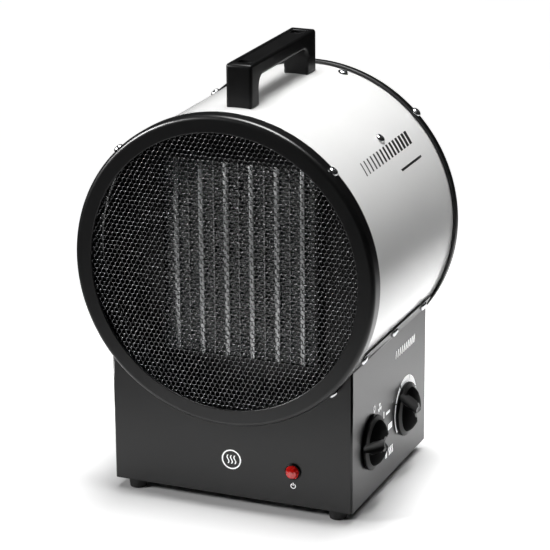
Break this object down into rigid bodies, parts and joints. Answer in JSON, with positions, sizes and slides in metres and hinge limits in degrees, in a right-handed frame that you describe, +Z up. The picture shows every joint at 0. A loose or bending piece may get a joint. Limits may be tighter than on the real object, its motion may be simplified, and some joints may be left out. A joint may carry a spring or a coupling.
{
  "type": "ceramic fan heater",
  "caption": "Drum-shaped electric fan heater with a ceramic heating block behind a mesh guard, bridge handle, sheet-metal base, rotary controls and rubber feet.",
  "frame": {"origin": "on the floor plane under the middle of the drum (bottom centre of the bounding box)", "axes": "+Z up, -Y the front with the ceramic block, +Y the air intake, +X the side with the rotary controls"},
  "size_m": [0.29, 0.229, 0.4107],
  "materials": {
    "black_coated_steel": "satin black powder coat",
    "white_coated_steel": "semi-gloss white powder coat",
    "guard_steel": "satin black coated steel",
    "black_plastic": "fine-grained black moulded plastic",
    "cream_plastic": "cream electrical plastic",
    "rubber": "matte black rubber",
    "red_lens": "faceted translucent red lens",
    "zinc_screws": "zinc-plated pan-head screws",
    "zinc_steel": "zinc-plated steel",
    "heater_strips": "extruded aluminium over ceramic stones",
    "heater_fins": "folded bright aluminium fins",
    "fan_aluminium": "pressed aluminium",
    "motor_steel": "dark enamelled steel"
  },
  "bodies": {
    "housing": {"base_floor": "black_coated_steel", "base_rear_panel": "black_coated_steel", "base_wrap": "black_coated_steel", "bracket_screw_1": "zinc_screws", "bracket_screw_2": "zinc_screws", "cable_inlet": "black_plastic", "ceramic_strip_1": "heater_strips", "ceramic_strip_2": "heater_strips", "ceramic_strip_3": "heater_strips", "ceramic_strip_4": "heater_strips", "ceramic_strip_5": "heater_strips", "ceramic_strip_6": "heater_strips", "drum_seam_screw": "zinc_screws", "drum_shell": "white_coated_steel", "fin_pack_1": "heater_fins", "fin_pack_2": "heater_fins", "fin_pack_3": "heater_fins", "fin_pack_4": "heater_fins", "fin_pack_5": "heater_fins", "fin_pack_6": "heater_fins", "fin_pack_7": "heater_fins", "flange_screw_left_1": "zinc_screws", "flange_screw_left_2": "zinc_screws", "flange_screw_left_3": "zinc_screws", "flange_screw_right_1": "zinc_screws", "flange_screw_right_2": "zinc_screws", "flange_screw_right_3": "zinc_screws", "foot_front_left": "rubber", "foot_front_right": "rubber", "foot_rear_left": "rubber", "foot_rear_right": "rubber", "front_mesh_guard": "guard_steel", "front_ring": "black_coated_steel", "front_ring_screw_1": "zinc_screws", "front_ring_screw_2": "zinc_screws", "front_ring_screw_3": "zinc_screws", "front_ring_screw_4": "zinc_screws", "handle": "black_plastic", "heater_baffle": "black_coated_steel", "heater_frame": "black_coated_steel", "motor_body": "motor_steel", "motor_bracket": "zinc_steel", "pilot_lamp_body": "black_plastic", "pilot_lamp_lens": "red_lens", "rear_ring": "black_coated_steel", "rear_ring_screw_1": "zinc_screws", "rear_ring_screw_2": "zinc_screws", "rear_ring_screw_3": "zinc_screws", "rear_ring_screw_4": "zinc_screws", "rear_wire_guard": "guard_steel", "selector_body": "cream_plastic", "terminal_block": "cream_plastic", "thermal_cutout": "cream_plastic", "thermostat_body": "cream_plastic"},
    "selector": {"selector_knob": "black_plastic", "selector_shaft": "zinc_steel"},
    "thermostat": {"thermostat_knob": "black_plastic", "thermostat_shaft": "zinc_steel"},
    "fan": {"fan_blades": "fan_aluminium", "fan_shaft": "zinc_steel"}
  },
  "joints": [
    {"name": "selector_turn", "type": "hinge", "parent": "housing", "child": "selector", "pos_m": [0.1185, -0.0485, 0.0618], "axis": [-1, 0, 0], "range_deg": [0, 120]},
    {"name": "thermostat_turn", "type": "hinge", "parent": "housing", "child": "thermostat", "pos_m": [0.1185, 0.0395, 0.0626], "axis": [-1, 0, 0], "range_deg": [0, 270]},
    {"name": "fan_spin", "type": "hinge", "parent": "housing", "child": "fan", "pos_m": [0, 0.077, 0.2297], "axis": [0, 1, 0], "continuous": true}
  ]
}
